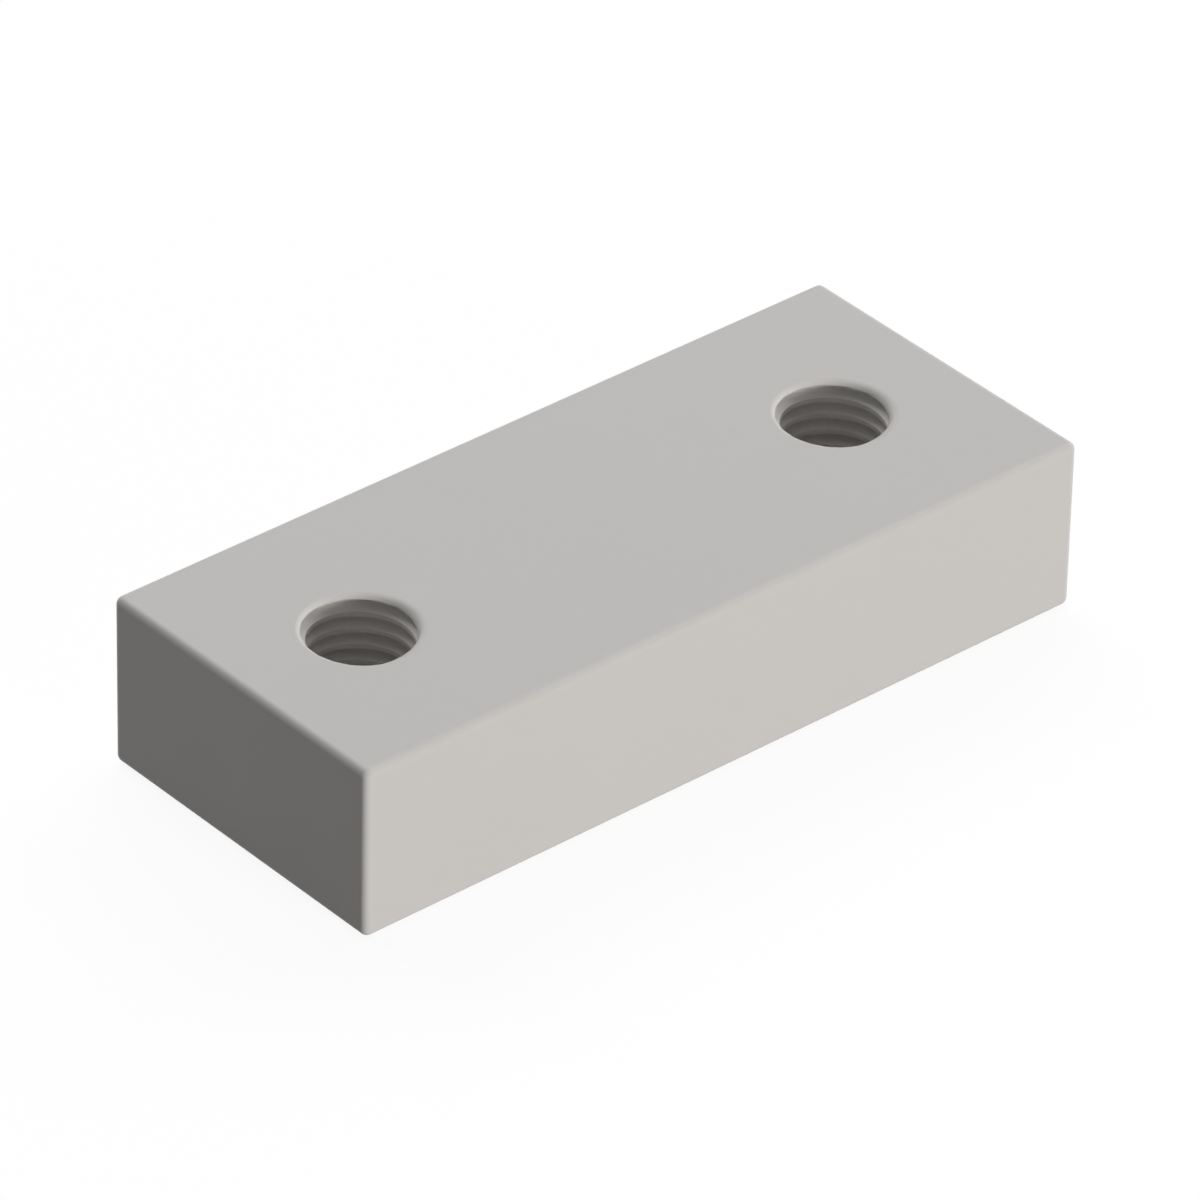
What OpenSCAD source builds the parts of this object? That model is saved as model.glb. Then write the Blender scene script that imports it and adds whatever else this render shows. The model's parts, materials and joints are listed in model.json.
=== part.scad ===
// Threaded block: a flat steel block with rounded edges and two tapped
// through holes on its centre line. The origin is the centre of the bottom
// face, X runs along the length, Y across the width and Z up.
// The holes are drawn at the core diameter that is drilled before tapping.

/* [Block] */
// Length of the block along X
block_l = 85; // [76:1:200]
// Width of the block along Y
block_w = 36; // [20:1:100]
// Thickness of the block along Z
block_t = 18; // [6:0.5:60]
// Radius of the rounding on all twelve edges
edge_r = 0.8; // [0.3:0.1:2.5]

/* [Tapped holes] */
// Major diameter of the metric thread
thread_d = 12; // [5:0.5:18]
// Pitch of the thread
thread_pitch = 1.75; // [0.5:0.25:2.5]
// Distance between the centres of the two holes
hole_spacing = 56.7; // [20:0.1:66]
// Radius of the rounding at both mouths of each hole
mouth_r = 1; // [0.3:0.1:2.5]

/* [Hidden] */
$fn = 96;

// Core diameter of the tapped hole: a metric internal thread is 5/8 as deep as its sharp triangle
thread_angle = 60;
sharp_depth = thread_pitch / (2 * tan(thread_angle / 2));
core_d = thread_d - 2 * 5 / 8 * sharp_depth;
// How far the hole cutters stand out of the faces that they open
overrun = 1;

// Rectangle centred on the origin with its corners rounded to radius r
module rounded_rectangle(x, y, r) {
    square([x - 2 * r, y], center = true);
    square([x, y - 2 * r], center = true);
    for (a = [-1, 1], b = [-1, 1])
        translate([a * (x / 2 - r), b * (y / 2 - r)]) circle(r = r);
}

// Box standing on Z = 0 with all its edges and corners rounded to radius r:
// one bar of rounded section along each axis, and a ball in each corner
module rounded_box(l, w, t, r) {
    translate([0, 0, t / 2]) {
        linear_extrude(t - 2 * r, center = true) rounded_rectangle(l, w, r);
        rotate([90, 0, 90]) linear_extrude(l - 2 * r, center = true) rounded_rectangle(w, t, r);
        rotate([90, 0, 0]) linear_extrude(w - 2 * r, center = true) rounded_rectangle(l, t, r);
        for (a = [-1, 1], b = [-1, 1], c = [-1, 1])
            translate([a * (l / 2 - r), b * (w / 2 - r), c * (t / 2 - r)]) sphere(r = r);
    }
}

// Half section of the flare at a hole's upper mouth: a quarter round from the core's wall to the face at height t
module mouth_section(core_r, t, r) {
    difference() {
        translate([0, t - r]) square([core_r + r, r + overrun]);
        translate([core_r + r, t - r]) circle(r = r);
    }
}

// Cutter for one tapped hole through a thickness t, with both mouths rounded to radius r
module hole_cutter(core_r, t, r) {
    rotate_extrude() {
        translate([0, -overrun]) square([core_r, t + 2 * overrun]);
        mouth_section(core_r, t, r);
        translate([0, t]) mirror([0, 1]) mouth_section(core_r, t, r);
    }
}

// The whole block, with a tapped hole at each end of its centre line
module block() {
    color([0.74, 0.73, 0.72])
    difference() {
        rounded_box(block_l, block_w, block_t, edge_r);
        for (side = [-1, 1])
            translate([side * hole_spacing / 2, 0, 0]) hole_cutter(core_d / 2, block_t, mouth_r);
    }
}

block();
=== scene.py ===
"""Looks of the threaded block: one machined steel block with two tapped holes, in a pale studio.

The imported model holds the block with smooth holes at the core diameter. The block here has the same sizes,
with its threads cut, and stands for that node. Everything is in metres in the part's own frame: X along the
length, Y across the width, Z up, and the origin in the middle of the bottom face.
"""

import json
import logging
import math
from dataclasses import dataclass
from enum import Enum

import bpy
from mathutils import Matrix, Vector


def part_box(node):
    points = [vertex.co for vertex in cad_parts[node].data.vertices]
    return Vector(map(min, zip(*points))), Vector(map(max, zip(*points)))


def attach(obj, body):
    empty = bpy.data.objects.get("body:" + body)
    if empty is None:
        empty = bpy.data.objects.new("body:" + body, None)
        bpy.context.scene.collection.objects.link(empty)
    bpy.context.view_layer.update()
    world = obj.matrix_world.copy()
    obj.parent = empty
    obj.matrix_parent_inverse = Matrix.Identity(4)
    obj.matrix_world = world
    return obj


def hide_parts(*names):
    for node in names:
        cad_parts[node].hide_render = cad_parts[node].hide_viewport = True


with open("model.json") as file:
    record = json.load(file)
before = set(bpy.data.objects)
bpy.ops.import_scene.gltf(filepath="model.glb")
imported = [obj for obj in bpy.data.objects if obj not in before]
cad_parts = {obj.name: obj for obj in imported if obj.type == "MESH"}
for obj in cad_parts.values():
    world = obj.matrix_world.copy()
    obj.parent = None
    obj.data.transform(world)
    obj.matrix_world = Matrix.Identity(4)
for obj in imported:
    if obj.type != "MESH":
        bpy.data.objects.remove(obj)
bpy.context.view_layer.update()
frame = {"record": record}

LOG = logging.getLogger("threaded_block")
# One millimetre, in metres.
MM = 0.001
# A quarter of a turn, in radians.
QUARTER_TURN = math.pi / 2
# How many upright edges the block has, and so how many sides.
CORNERS = 4
# White, with its alpha.
WHITE = (1.0, 1.0, 1.0, 1.0)


class Side(Enum):
    """The two flat faces that a hole opens through."""

    BOTTOM = "bottom"
    TOP = "top"


class Mark(Enum):
    """What the mesh tells the finish at each of its points, from 0 to 1.

    WALL says where the surface is a tapped wall, whose colour is brightened there as painted light, and EDGE
    how worn it is, painted paler as worn metal with a painted highlight.
    """

    WALL = "wall"
    EDGE = "edge"


class Term:
    """A number inside a node tree, which formulas use like a plain one.

    Args:
        graph: The graph that holds it.
        socket: The output that gives it.
    """

    def __init__(self, graph: "Graph", socket: bpy.types.NodeSocket) -> None:
        """Keeps the graph and the output."""
        self.graph = graph
        self.socket = socket

    def __add__(self, other: "Number") -> "Term":
        """Gives the sum."""
        return self.graph.math("ADD", self, other)

    def __radd__(self, other: "Number") -> "Term":
        """Gives the sum with a plain number on the left."""
        return self.graph.math("ADD", other, self)

    def __sub__(self, other: "Number") -> "Term":
        """Gives the difference."""
        return self.graph.math("SUBTRACT", self, other)

    def __mul__(self, other: "Number") -> "Term":
        """Gives the product."""
        return self.graph.math("MULTIPLY", self, other)

    def __truediv__(self, other: "Number") -> "Term":
        """Gives the quotient."""
        return self.graph.math("DIVIDE", self, other)

    def __abs__(self) -> "Term":
        """Gives the size without the sign."""
        return self.graph.math("ABSOLUTE", self)


Number = float | Term


class Graph:
    """Adds nodes to a tree and joins them.

    Args:
        tree: The node tree of a material, the world or a geometry modifier.
    """

    # How far apart the nodes stand in the editor.
    STEP = 180

    def __init__(self, tree: bpy.types.NodeTree) -> None:
        """Keeps the tree."""
        self.tree = tree

    def node(self, kind: str, inputs: dict[str, object] | None = None, **options: object) -> bpy.types.Node:
        """Adds one node, sets its options and fills its inputs.

        Args:
            kind: The node's type, as Blender names it.
            inputs: What goes into each named input.
            **options: Options of the node, such as its operation.

        Returns:
            The new node.
        """
        made = self.tree.nodes.new(kind)
        made.location = (self.STEP * len(self.tree.nodes), 0)
        for name, value in options.items():
            setattr(made, name, value)
        for name, value in (inputs or {}).items():
            self.feed(made.inputs[name], value)
        return made

    def feed(self, socket: bpy.types.NodeSocket, value: object) -> None:
        """Joins an output to an input, or writes a plain value on the input.

        Args:
            socket: The input to fill.
            value: A term, a socket, or a plain value of the input's own kind.
        """
        if isinstance(value, Term):
            value = value.socket
        if isinstance(value, bpy.types.NodeSocket):
            self.tree.links.new(value, socket)
        else:
            socket.default_value = value

    def math(self, operation: str, *values: Number) -> Term:
        """Adds a Math node.

        Args:
            operation: What it works out, such as MULTIPLY.
            *values: Its inputs in order.

        Returns:
            The result.
        """
        made = self.node("ShaderNodeMath", operation=operation)
        for socket, value in zip(made.inputs, values):
            self.feed(socket, value)
        return Term(self, made.outputs[0])

    def vector(self, x: Number = 0.0, y: Number = 0.0, z: Number = 0.0) -> bpy.types.NodeSocket:
        """Joins three numbers into a vector.

        Args:
            x: First part.
            y: Second part.
            z: Third part.

        Returns:
            The vector's socket.
        """
        return self.node("ShaderNodeCombineXYZ", {"X": x, "Y": y, "Z": z}).outputs[0]


@dataclass(frozen=True)
class MetricThread:
    """Section of an ISO metric internal thread.

    Args:
        core_radius: Radius at the crests, where the hole was drilled.
        pitch: Distance along the axis from one groove to the next.
        flank: Angle between a side of the groove and the plane across the axis, in degrees.
        root_flat: Width of the flat at the bottom of the groove, as a share of the pitch.
        depth: Depth of the groove, as a share of its full sharp triangle.
    """

    core_radius: float
    pitch: float = 1.75 * MM
    flank: float = 30.0
    root_flat: float = 1 / 8
    depth: float = 5 / 8

    @property
    def slope(self) -> float:
        """Change of radius along a flank for each unit along the axis."""
        return 1 / math.tan(math.radians(self.flank))

    @property
    def major_radius(self) -> float:
        """Radius at the bottom of the groove."""
        return self.core_radius + self.depth * self.pitch / 2 * self.slope


@dataclass(frozen=True)
class MachinedSteel:
    """Satin steel: fine grain drawn along the block, edges painted a little paler as worn metal with a
    painted highlight, and tapped walls painted brighter as painted light.

    Args:
        color: Base colour of the outside, as linear red, green and blue.
        painted_wall_light: Painted light on the tapped walls: how much brighter they are painted, as a
            factor.
        edge_wear_and_highlight_tone: How bright the middle of a rounded edge is painted, as a factor: partly
            worn, paler metal and partly a painted highlight.
        edge_change: How far that paler edge and its painted highlight wander along an edge either way, as a
            share.
        metallic: How far the surface reflects like bare metal.
        specular: Strength of the sheen, where 0.5 is a plain one.
        roughness: Middle roughness of the surface.
        mottle: Size of the soft patches in tone and sheen.
        mottle_detail: How many finer layers the patches have.
        mottle_roughness: How far the roughness wanders with them, either way.
        mottle_tone: How far the brightness wanders with them either way, as a share.
        grain: Width of the fine grain.
        grain_length: Length of the fine grain, along the block.
        grain_detail: How many finer layers it has.
        grain_tone: How far the brightness wanders with the grain either way, as a share.
        grain_depth: Height of the fine grain.
    """

    color: tuple[float, float, float] = (0.56, 0.545, 0.53)
    painted_wall_light: float = 1.25
    edge_wear_and_highlight_tone: float = 1.12
    edge_change: float = 0.5
    metallic: float = 0.05
    specular: float = 0.35
    roughness: float = 0.46
    mottle: float = 9.0 * MM
    mottle_detail: float = 2.0
    mottle_roughness: float = 0.04
    mottle_tone: float = 0.012
    grain: float = 0.2 * MM
    grain_length: float = 2.5 * MM
    grain_detail: float = 1.0
    grain_tone: float = 0.02
    grain_depth: float = 0.002 * MM

    def noise(self, graph: Graph, width: float, length: float, detail: float) -> Term:
        """Adds soft noise that is fixed to the object.

        Args:
            graph: The material's graph.
            width: Size of its features across the block and upwards.
            length: Size of its features along the block.
            detail: How many finer layers it has.

        Returns:
            The noise, centred on nought and at most one unit either way.
        """
        place = graph.node("ShaderNodeTexCoord").outputs["Object"]
        scale = (1 / length, 1 / width, 1 / width)
        drawn = graph.node("ShaderNodeMapping", {"Vector": place, "Scale": scale}).outputs[0]
        texture = graph.node("ShaderNodeTexNoise", {"Vector": drawn, "Scale": 1.0, "Detail": detail})
        return (Term(graph, texture.outputs[0]) - 0.5) * 2.0

    def marked(self, graph: Graph, mark: Mark) -> Term:
        """Reads one of the mesh's marks.

        Args:
            graph: The material's graph.
            mark: Which one.

        Returns:
            Its value at each point.
        """
        return Term(graph, graph.node("ShaderNodeAttribute", attribute_name=mark.value).outputs["Fac"])

    def build(self) -> bpy.types.Material:
        """Makes the material.

        Returns:
            The finished material.
        """
        material = bpy.data.materials.new("machined_steel")
        material.use_nodes = True
        graph = Graph(material.node_tree)
        shader = material.node_tree.nodes["Principled BSDF"]
        mottle = self.noise(graph, self.mottle, self.mottle, self.mottle_detail)
        grain = self.noise(graph, self.grain, self.grain_length, self.grain_detail)
        # Painted light: the tapped walls are painted brighter, standing in for light inside the holes.
        wall = self.marked(graph, Mark.WALL) * (self.painted_wall_light - 1)
        # Painted highlight, partly worn metal: the middle of each rounded edge is painted paler.
        wear_and_highlight = self.marked(graph, Mark.EDGE) * (self.edge_wear_and_highlight_tone - 1) * (1.0 + mottle * self.edge_change)
        tone = 1.0 + mottle * self.mottle_tone + grain * self.grain_tone + wall + wear_and_highlight
        tint = graph.node("ShaderNodeVectorMath", operation="SCALE")
        tint.inputs[0].default_value = self.color
        graph.feed(tint.inputs["Scale"], tone)
        graph.feed(shader.inputs["Base Color"], tint.outputs[0])
        graph.feed(shader.inputs["Roughness"], self.roughness + mottle * self.mottle_roughness)
        shader.inputs["Metallic"].default_value = self.metallic
        shader.inputs["Specular IOR Level"].default_value = self.specular
        bump = graph.node("ShaderNodeBump", {"Height": grain, "Distance": self.grain_depth, "Strength": 1.0})
        graph.feed(shader.inputs["Normal"], bump.outputs[0])
        return material


@dataclass
class ThreadedBlock:
    """The block: rounded on all its edges, with a tapped hole at each end of its centre line.

    Args:
        length: Size along X.
        width: Size along Y.
        thickness: Size along Z.
        hole_spacing: Distance between the centres of the two holes.
        thread: The thread in both holes.
        edge_radius: Radius of the rounding on the twelve edges.
        mouth_radius: Radius of the rounding at both mouths of each hole.
        tapped_share: Share of a mouth's rounding, next to the wall, that gets the tapped wall's painted
            light.
        long_edge_wear_and_highlight: How pale the edges along the block are painted, as worn metal with a
            painted highlight, next to those round its two cut ends.
        mouth_wear_and_highlight: How pale a mouth is painted, as worn metal with a painted highlight, next
            to those too.
        round_steps: Faces round a hole.
        edge_steps: Faces across a rounded edge.
        mouth_steps: Faces across a rounded mouth.
        pitch_steps: Faces along one pitch; 16 puts an edge on every corner of the thread's section.
        weld: Distance under which neighbouring points become one.
        crease: Angle over which an edge is drawn sharp, in degrees.
    """

    length: float
    width: float
    thickness: float
    hole_spacing: float
    thread: MetricThread
    edge_radius: float = 0.8 * MM
    mouth_radius: float = 1.0 * MM
    tapped_share: float = 0.25
    long_edge_wear_and_highlight: float = 0.35
    mouth_wear_and_highlight: float = 0.5
    round_steps: int = 96
    edge_steps: int = 8
    mouth_steps: int = 16
    pitch_steps: int = 16
    weld: float = 0.001 * MM
    crease: float = 35.0

    @classmethod
    def from_frame(cls) -> "ThreadedBlock":
        """Takes the block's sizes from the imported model.

        Returns:
            The block, with the box of the CAD node and the holes of its mounts.
        """
        low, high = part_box("block")
        size = high - low
        mounts = {mount["name"]: mount["dims"] for mount in frame["record"]["mounts"]}
        pair = mounts["hole_pair"]
        return cls(
            length=size.x,
            width=size.y,
            thickness=size.z,
            hole_spacing=pair["spacing_x_mm"] * MM,
            thread=MetricThread(core_radius=pair["hole_r_mm"] * MM),
        )

    @property
    def sizes(self) -> dict[str, float]:
        """Lists the sizes that the geometry tree takes as its named inputs.

        Returns:
            Each size in metres, by the name of its input.
        """
        return {
            "Length": self.length,
            "Width": self.width,
            "Thickness": self.thickness,
            "Edge Radius": self.edge_radius,
            "Hole Spacing": self.hole_spacing,
            "Core Radius": self.thread.core_radius,
            "Major Radius": self.thread.major_radius,
            "Pitch": self.thread.pitch,
            "Mouth Radius": self.mouth_radius,
        }

    def sheet(self, graph: Graph, columns: int, rows: int) -> tuple[bpy.types.NodeSocket, Term, Term]:
        """Adds a flat grid that a formula then bends.

        Args:
            graph: The tree to add to.
            columns: Faces along its first side.
            rows: Faces along its second side.

        Returns:
            The grid, and how far along each side a point lies, from 0 to 1.
        """
        counts = {"Vertices X": columns + 1, "Vertices Y": rows + 1}
        grid = graph.node("GeometryNodeMeshGrid", {"Size X": 1.0, "Size Y": 1.0, **counts})
        place = graph.node("GeometryNodeInputPosition").outputs[0]
        parts = graph.node("ShaderNodeSeparateXYZ", {"Vector": place}).outputs
        return grid.outputs["Mesh"], Term(graph, parts["X"]) + 0.5, Term(graph, parts["Y"]) + 0.5

    def bend(
        self,
        graph: Graph,
        mesh: bpy.types.NodeSocket,
        place: bpy.types.NodeSocket,
        marks: dict[Mark, Number],
    ) -> bpy.types.NodeSocket:
        """Moves a grid's points to their place and marks them for the finish.

        Args:
            graph: The tree to add to.
            mesh: The grid.
            place: Where each point goes.
            marks: The value of each mark at a point.

        Returns:
            The bent grid.
        """
        for mark, value in marks.items():
            stored = {"Geometry": mesh, "Name": mark.value, "Value": value}
            mesh = graph.node("GeometryNodeStoreNamedAttribute", stored, domain="POINT").outputs[0]
        return graph.node("GeometryNodeSetPosition", {"Geometry": mesh, "Position": place}).outputs[0]

    def flip(self, graph: Graph, mesh: bpy.types.NodeSocket) -> bpy.types.NodeSocket:
        """Turns every face to look the other way."""
        return graph.node("GeometryNodeFlipFaces", {"Mesh": mesh}).outputs[0]

    def join(self, graph: Graph, parts: list[bpy.types.NodeSocket]) -> bpy.types.NodeSocket:
        """Joins parts into one geometry.

        Args:
            graph: The tree to add to.
            parts: The geometries to join.

        Returns:
            The joined geometry.
        """
        joined = graph.node("GeometryNodeJoinGeometry")
        for part in reversed(parts):
            graph.feed(joined.inputs[0], part)
        return joined.outputs[0]

    def pair(self, graph: Graph, sizes: dict[str, Term], part: bpy.types.NodeSocket) -> bpy.types.NodeSocket:
        """Puts a copy of a part at each hole's centre.

        Args:
            graph: The tree to add to.
            sizes: The tree's inputs.
            part: The part, made round the Z axis.

        Returns:
            Both copies, as real geometry.
        """
        spacing = sizes["Hole Spacing"]
        start = graph.vector(x=spacing * -0.5)
        line = {"Count": 2, "Start Location": start, "Offset": graph.vector(x=spacing)}
        centres = graph.node("GeometryNodeMeshLine", line).outputs[0]
        copies = graph.node("GeometryNodeInstanceOnPoints", {"Points": centres, "Instance": part}).outputs[0]
        return graph.node("GeometryNodeRealizeInstances", {"Geometry": copies}).outputs[0]

    def wall_place(
        self, graph: Graph, sizes: dict[str, Term], around: Term, height: Number, drilled: Number
    ) -> bpy.types.NodeSocket:
        """Places a point of the hole's wall: on the drilled form, or in the groove where that is wider.

        Args:
            graph: The tree to add to.
            sizes: The tree's inputs.
            around: How far round the hole the point lies, from 0 to 1.
            height: Its height.
            drilled: Radius of the hole there without its thread, with the mouths' rounding.

        Returns:
            The point's place, as a vector socket.
        """
        pitch = sizes["Pitch"]
        climb = height - sizes["Mouth Radius"] - around * pitch
        from_groove = abs(graph.math("WRAP", climb, pitch * 0.5, pitch * -0.5))
        past_flat = from_groove - pitch * (self.thread.root_flat / 2)
        flank = sizes["Major Radius"] - past_flat * self.thread.slope
        groove = graph.math("MINIMUM", flank, sizes["Major Radius"])
        radius = graph.math("MAXIMUM", groove, drilled)
        angle = around * math.tau
        x = radius * graph.math("COSINE", angle)
        y = radius * graph.math("SINE", angle)
        return graph.vector(x, y, height)

    def bore(self, graph: Graph, sizes: dict[str, Term]) -> bpy.types.NodeSocket:
        """Makes the threaded wall between the two mouths, its rows climbing with the thread.

        Args:
            graph: The tree to add to.
            sizes: The tree's inputs.

        Returns:
            The wall of one hole, round the Z axis.
        """
        straight = self.thickness - 2 * self.mouth_radius
        turns = math.ceil(straight / self.thread.pitch) + 1
        grid, around, along = self.sheet(graph, self.round_steps, turns * self.pitch_steps)
        low = sizes["Mouth Radius"]
        high = sizes["Thickness"] - low
        climbing = low + sizes["Pitch"] * (along * turns + around - 1.0)
        height = graph.math("MINIMUM", graph.math("MAXIMUM", climbing, low), high)
        place = self.wall_place(graph, sizes, around, height, sizes["Core Radius"])
        return self.flip(graph, self.bend(graph, grid, place, {Mark.WALL: 1.0, Mark.EDGE: 0.0}))

    def mouth(self, graph: Graph, sizes: dict[str, Term], side: Side) -> bpy.types.NodeSocket:
        """Makes one rounded mouth, with the thread's last turn running out through it.

        Args:
            graph: The tree to add to.
            sizes: The tree's inputs.
            side: The face that the mouth opens in.

        Returns:
            The mouth of one hole, round the Z axis.
        """
        grid, around, along = self.sheet(graph, self.round_steps, self.mouth_steps)
        radius = sizes["Mouth Radius"]
        angle = along * QUARTER_TURN
        rise = radius * graph.math("SINE", angle)
        flare = sizes["Core Radius"] + radius - radius * graph.math("COSINE", angle)
        height = radius - rise if side is Side.BOTTOM else sizes["Thickness"] - radius + rise
        place = self.wall_place(graph, sizes, around, height, flare)
        # The tapped part of the mouth gets the walls' painted light; the middle of its rounding is painted
        # paler, as worn metal with a painted highlight.
        marks = {
            Mark.WALL: graph.math("LESS_THAN", along, self.tapped_share),
            Mark.EDGE: graph.math("SINE", angle * 2.0) * self.mouth_wear_and_highlight,
        }
        made = self.bend(graph, grid, place, marks)
        return made if side is Side.BOTTOM else self.flip(graph, made)

    def face(self, graph: Graph, sizes: dict[str, Term], side: Side) -> bpy.types.NodeSocket:
        """Makes the flat part of the top or the bottom, open at both holes.

        Args:
            graph: The tree to add to.
            sizes: The tree's inputs.
            side: Which face it is.

        Returns:
            The face.
        """
        rounding = sizes["Edge Radius"] * 2.0
        flat = {"Width": sizes["Length"] - rounding, "Height": sizes["Width"] - rounding}
        outline = graph.node("GeometryNodeCurvePrimitiveQuadrilateral", flat).outputs[0]
        rim = {"Resolution": self.round_steps, "Radius": sizes["Core Radius"] + sizes["Mouth Radius"]}
        circle = graph.node("GeometryNodeCurvePrimitiveCircle", rim).outputs[0]
        lines = self.join(graph, [outline, self.pair(graph, sizes, circle)])
        filled = graph.node("GeometryNodeFillCurve", {"Curve": lines}).outputs[0]
        if side is Side.BOTTOM:
            return self.flip(graph, filled)
        lift = graph.vector(z=sizes["Thickness"])
        return graph.node("GeometryNodeTransform", {"Geometry": filled, "Translation": lift}).outputs[0]

    def wear_and_highlight(self, graph: Graph, turn: Term, tilt: Term) -> Term:
        """Tells how worn the outside of the block is and how much painted highlight it gets, by the way that
        it faces.

        Args:
            graph: The tree to add to.
            turn: Way that a point of the surface faces, round Z from +X, in radians.
            tilt: How far it faces up, in radians.

        Returns:
            How pale to paint it: nought on the flat faces, and one in the middle of an edge round a cut end.
        """
        upright = abs(graph.math("SINE", turn * 2.0)) * graph.math("COSINE", tilt)
        at_end = abs(graph.math("COSINE", turn))
        level = abs(graph.math("SINE", tilt * 2.0)) * (self.long_edge_wear_and_highlight + at_end * (1 - self.long_edge_wear_and_highlight))
        return graph.math("MAXIMUM", upright, level)

    def skin(self, graph: Graph, sizes: dict[str, Term]) -> bpy.types.NodeSocket:
        """Makes the four sides with all their rounded edges and corners, as one band round the block.

        Args:
            graph: The tree to add to.
            sizes: The tree's inputs.

        Returns:
            The band.
        """
        corner_points = self.edge_steps + 1
        columns = CORNERS * corner_points
        rows = 2 * self.edge_steps + 1
        grid, around, along = self.sheet(graph, columns, rows)
        column = graph.math("ROUND", around * columns)
        corner = graph.math("FLOOR", (column + 0.5) / corner_points)
        step = column - corner * corner_points
        turn = (corner + step / self.edge_steps) * QUARTER_TURN
        corner_turn = (corner + 0.5) * QUARTER_TURN
        row = graph.math("ROUND", along * rows)
        upper = graph.math("GREATER_THAN", row, self.edge_steps + 0.5)
        tilt = ((row - upper) / self.edge_steps - 1.0) * QUARTER_TURN
        radius = sizes["Edge Radius"]
        reach = radius * graph.math("COSINE", tilt)
        half_length = sizes["Length"] * 0.5 - radius
        half_width = sizes["Width"] * 0.5 - radius
        side_x = graph.math("SIGN", graph.math("COSINE", corner_turn))
        side_y = graph.math("SIGN", graph.math("SINE", corner_turn))
        x = side_x * half_length + reach * graph.math("COSINE", turn)
        y = side_y * half_width + reach * graph.math("SINE", turn)
        z = radius + upper * (sizes["Thickness"] - radius * 2.0) + radius * graph.math("SINE", tilt)
        # The rounded edges are painted paler: worn metal with a painted highlight.
        marks = {Mark.WALL: 0.0, Mark.EDGE: self.wear_and_highlight(graph, turn, tilt)}
        return self.bend(graph, grid, graph.vector(x, y, z), marks)

    def build_tree(self) -> tuple[bpy.types.GeometryNodeTree, dict[str, str]]:
        """Makes the geometry tree of the whole block.

        Returns:
            The tree, and the identifier of each input by its name.
        """
        tree = bpy.data.node_groups.new("threaded_block", "GeometryNodeTree")
        add = tree.interface.new_socket
        sockets = {name: add(name, in_out="INPUT", socket_type="NodeSocketFloat") for name in self.sizes}
        sockets["Finish"] = add("Finish", in_out="INPUT", socket_type="NodeSocketMaterial")
        add("Block", in_out="OUTPUT", socket_type="NodeSocketGeometry")
        graph = Graph(tree)
        given = graph.node("NodeGroupInput").outputs
        sizes = {name: Term(graph, given[name]) for name in self.sizes}
        walls = [self.bore(graph, sizes)] + [self.mouth(graph, sizes, side) for side in Side]
        parts = [self.skin(graph, sizes), self.pair(graph, sizes, self.join(graph, walls))]
        parts += [self.face(graph, sizes, side) for side in Side]
        close = {"Geometry": self.join(graph, parts), "Distance": self.weld}
        welded = graph.node("GeometryNodeMergeByDistance", close).outputs[0]
        smooth = graph.node("GeometryNodeSetShadeSmooth", {"Geometry": welded}, domain="FACE").outputs[0]
        fold = graph.node("GeometryNodeInputMeshEdgeAngle").outputs["Unsigned Angle"]
        sharp = graph.math("GREATER_THAN", Term(graph, fold), math.radians(self.crease))
        creases = {"Geometry": smooth, "Selection": sharp, "Shade Smooth": False}
        creased = graph.node("GeometryNodeSetShadeSmooth", creases, domain="EDGE").outputs[0]
        real = graph.node("GeometryNodeRealizeInstances", {"Geometry": creased}).outputs[0]
        finish = {"Geometry": real, "Material": given["Finish"]}
        dressed = graph.node("GeometryNodeSetMaterial", finish).outputs[0]
        graph.node("NodeGroupOutput", {"Block": dressed})
        return tree, {name: socket.identifier for name, socket in sockets.items()}

    def drop_empty_slots(self, mesh: bpy.types.Mesh) -> None:
        """Takes out the empty material slot that the tree's grids bring with them.

        Args:
            mesh: The finished mesh, whose faces all use the slot that is left.
        """
        for index in reversed(range(len(mesh.materials))):
            if mesh.materials[index] is None:
                mesh.materials.pop(index=index)

    def build(self, finish: MachinedSteel) -> bpy.types.Object:
        """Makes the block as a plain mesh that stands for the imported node.

        Args:
            finish: The surface that it gets.

        Returns:
            The block's object, riding on its body.
        """
        tree, identifiers = self.build_tree()
        source = bpy.data.objects.new("tapped_block_source", bpy.data.meshes.new("tapped_block_source"))
        bpy.context.scene.collection.objects.link(source)
        modifier = source.modifiers.new("Block", "NODES")
        modifier.node_group = tree
        for name, value in {**self.sizes, "Finish": finish.build()}.items():
            modifier[identifiers[name]] = value
        source.modifiers.new("Face normals", "WEIGHTED_NORMAL").keep_sharp = True
        evaluated = bpy.context.evaluated_depsgraph_get()
        mesh = bpy.data.meshes.new_from_object(source.evaluated_get(evaluated), depsgraph=evaluated)
        bpy.data.objects.remove(source)
        mesh.name = "tapped_block"
        self.drop_empty_slots(mesh)
        block = bpy.data.objects.new("tapped_block", mesh)
        bpy.context.scene.collection.objects.link(block)
        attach(block, "root")
        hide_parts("block")
        return block


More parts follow.
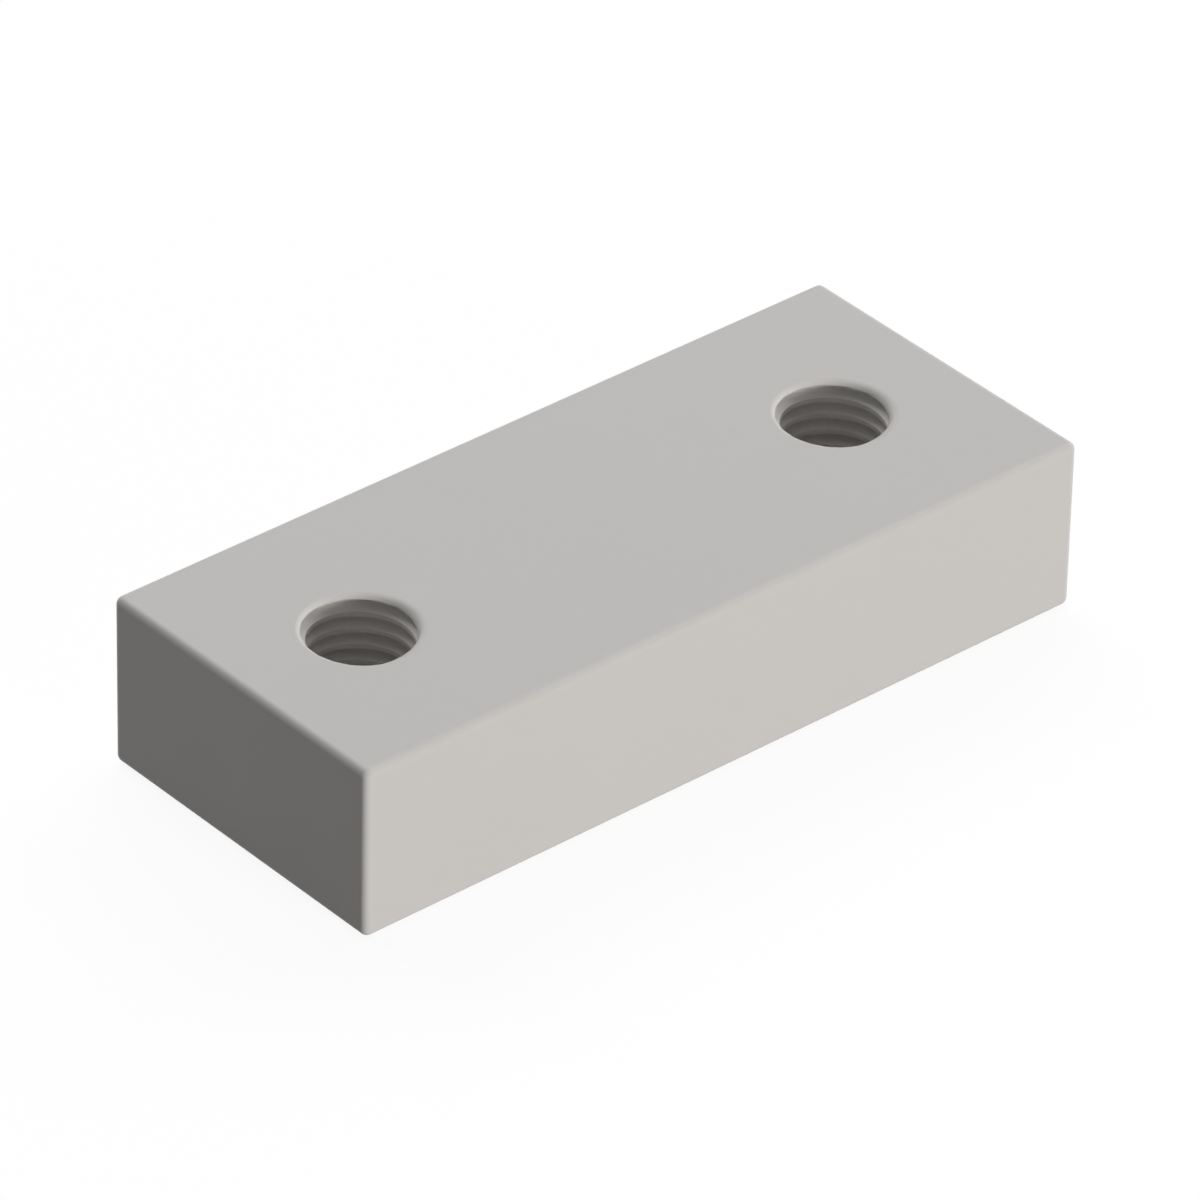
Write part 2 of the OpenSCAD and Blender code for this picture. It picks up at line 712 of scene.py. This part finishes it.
@dataclass(frozen=True)
class Softbox:
    """A studio lamp that faces the block.

    Args:
        name: Where the lamp stands, in a word.
        azimuth: Side that it stands on, in degrees from +Y towards +X.
        elevation: How high it stands, in degrees.
        power: Light that it gives, in watts.
        width: Its size along the floor.
        height: Its size upwards.
        color: Tint of its light, as linear red, green and blue.
        glints: Whether it also shows in the sheen of what it lights.
        distance: How far it stands from the block.
    """

    name: str
    azimuth: float
    elevation: float
    power: float
    width: float
    height: float
    color: tuple[float, float, float] = (1.0, 1.0, 1.0)
    glints: bool = True
    distance: float = 2.0

    def build(self, target: Vector) -> bpy.types.Object:
        """Makes the lamp.

        Args:
            target: The point that it faces.

        Returns:
            The lamp's object.
        """
        lamp = bpy.data.lights.new(self.name, "AREA")
        lamp.energy = self.power
        lamp.color = self.color
        lamp.shape = "RECTANGLE"
        lamp.size = self.width
        lamp.size_y = self.height
        made = bpy.data.objects.new(self.name, lamp)
        made.visible_glossy = self.glints
        away = direction(self.azimuth, self.elevation)
        made.location = target + away * self.distance
        made.rotation_euler = away.to_track_quat("Z", "Y").to_euler()
        bpy.context.scene.collection.objects.link(made)
        return made


def direction(azimuth: float, elevation: float) -> Vector:
    """Turns a compass direction into a vector.

    Args:
        azimuth: Degrees from +Y towards +X.
        elevation: Degrees above the floor.

    Returns:
        The unit vector that points there.
    """
    turn = math.radians(azimuth)
    rise = math.radians(elevation)
    level = math.cos(rise)
    return Vector((math.sin(turn) * level, math.cos(turn) * level, math.sin(rise)))


@dataclass(frozen=True)
class Studio:
    """A plain pale floor, a white surround and soft lamps.

    Args:
        lamps: The softboxes.
        floor_size: Length of the floor's side.
        floor_tone: How pale the floor is where it lights the block.
        floor_share: How pale its lit part looks, which takes the shadow.
        floor_glow: Even brightness that it shows on top of that, so that it looks white.
        ambient: Strength of the even light from all round.
    """

    lamps: tuple[Softbox, ...] = (
        Softbox(
            name="front",
            azimuth=177.0,
            elevation=4.0,
            power=36.2,
            width=0.6,
            height=0.2,
            color=(1.0, 0.978, 0.962),
            glints=False,
        ),
        Softbox(name="back", azimuth=10.0, elevation=32.0, power=7.3, width=1.6, height=1.6),
        Softbox(name="side", azimuth=70.0, elevation=32.0, power=16.1, width=2.0, height=1.6),
        Softbox(name="high", azimuth=5.0, elevation=56.0, power=13.1, width=1.6, height=1.6),
    )
    floor_size: float = 8.0
    floor_tone: float = 0.08
    floor_share: float = 0.15
    floor_glow: float = 0.9
    ambient: float = 0.13

    def seen(self, graph: Graph) -> Term:
        """Tells what the camera or a reflection sees from what only catches light.

        Args:
            graph: The tree to add to.

        Returns:
            One for camera, glossy and transmission rays, and nought for the rest.
        """
        path = graph.node("ShaderNodeLightPath").outputs
        straight = Term(graph, path["Is Camera Ray"])
        mirrored = graph.math("MAXIMUM", straight, Term(graph, path["Is Glossy Ray"]))
        return graph.math("MAXIMUM", mirrored, Term(graph, path["Is Transmission Ray"]))

    def build_floor(self) -> bpy.types.Object:
        """Makes the floor, which looks white and keeps a soft shadow.

        Returns:
            The floor's object.
        """
        material = bpy.data.materials.new("pale_floor")
        material.use_nodes = True
        material.node_tree.nodes.clear()
        graph = Graph(material.node_tree)
        seen = self.seen(graph)
        tone = self.floor_tone + seen * (self.floor_share - self.floor_tone)
        color = graph.node("ShaderNodeCombineColor", {"Red": tone, "Green": tone, "Blue": tone}).outputs[0]
        matte = graph.node("ShaderNodeBsdfDiffuse", {"Color": color}).outputs[0]
        glow = graph.node("ShaderNodeEmission", {"Strength": seen * self.floor_glow}).outputs[0]
        both = graph.node("ShaderNodeAddShader")
        graph.feed(both.inputs[0], matte)
        graph.feed(both.inputs[1], glow)
        graph.node("ShaderNodeOutputMaterial", {"Surface": both.outputs[0]})
        half = self.floor_size / 2
        mesh = bpy.data.meshes.new("floor")
        corners = [(-half, -half, 0.0), (half, -half, 0.0), (half, half, 0.0), (-half, half, 0.0)]
        mesh.from_pydata(corners, [], [(0, 1, 2, 3)])
        mesh.materials.append(material)
        floor = bpy.data.objects.new("floor", mesh)
        bpy.context.scene.collection.objects.link(floor)
        return floor

    def build_surround(self) -> bpy.types.World:
        """Makes the surround: white to look at, with a weaker even light.

        Returns:
            The world.
        """
        world = bpy.data.worlds.new("surround")
        world.use_nodes = True
        world.node_tree.nodes.clear()
        graph = Graph(world.node_tree)
        strength = self.ambient + self.seen(graph) * (1 - self.ambient)
        light = graph.node("ShaderNodeBackground", {"Color": WHITE, "Strength": strength}).outputs[0]
        graph.node("ShaderNodeOutputWorld", {"Surface": light})
        bpy.context.scene.world = world
        return world

    def build(self, target: Vector) -> list[bpy.types.Object]:
        """Makes the floor, the surround and the lamps.

        Args:
            target: The point that the lamps face.

        Returns:
            The floor and the lamps.
        """
        self.build_surround()
        return [self.build_floor()] + [lamp.build(target) for lamp in self.lamps]


@dataclass(frozen=True)
class LongCamera:
    """The camera: far off with a long lens, looking at the middle of the block.

    Args:
        azimuth: Way that it looks, in degrees from +Y towards +X.
        elevation: How far it looks down, in degrees.
        roll: How far it is turned about its own axis, in degrees.
        distance: How far it stands from the middle of the block.
        lens: Focal length in millimetres, on a 36 mm wide sensor.
    """

    azimuth: float = 41.24
    elevation: float = 34.03
    roll: float = 1.34
    distance: float = 0.923
    lens: float = 302.2

    def build(self, target: Vector) -> bpy.types.Object:
        """Makes the camera and gives it to the scene.

        Args:
            target: The point in the middle of the picture.

        Returns:
            The camera's object.
        """
        data = bpy.data.cameras.new("camera")
        data.lens = self.lens
        camera = bpy.data.objects.new("camera", data)
        away = -direction(self.azimuth, -self.elevation)
        turn = away.to_track_quat("Z", "Y").to_matrix().to_4x4()
        roll = Matrix.Rotation(math.radians(self.roll), 4, "Z")
        camera.matrix_world = Matrix.Translation(target + away * self.distance) @ turn @ roll
        bpy.context.scene.collection.objects.link(camera)
        bpy.context.scene.camera = camera
        return camera


def main() -> None:
    """Builds the block, the studio and the camera."""
    logging.basicConfig(level=logging.INFO, format="%(message)s")
    bpy.context.scene.view_settings.view_transform = "Standard"
    block = ThreadedBlock.from_frame()
    piece = block.build(MachinedSteel())
    LOG.info("%s: %d faces", piece.name, len(piece.data.polygons))
    middle = Vector((0, 0, block.thickness / 2))
    for item in Studio().build(middle):
        LOG.info("%s: in the studio", item.name)
    camera = LongCamera().build(middle)
    LOG.info("%s: %.1f mm lens", camera.name, camera.data.lens)


if __name__ == "__main__":
    main()
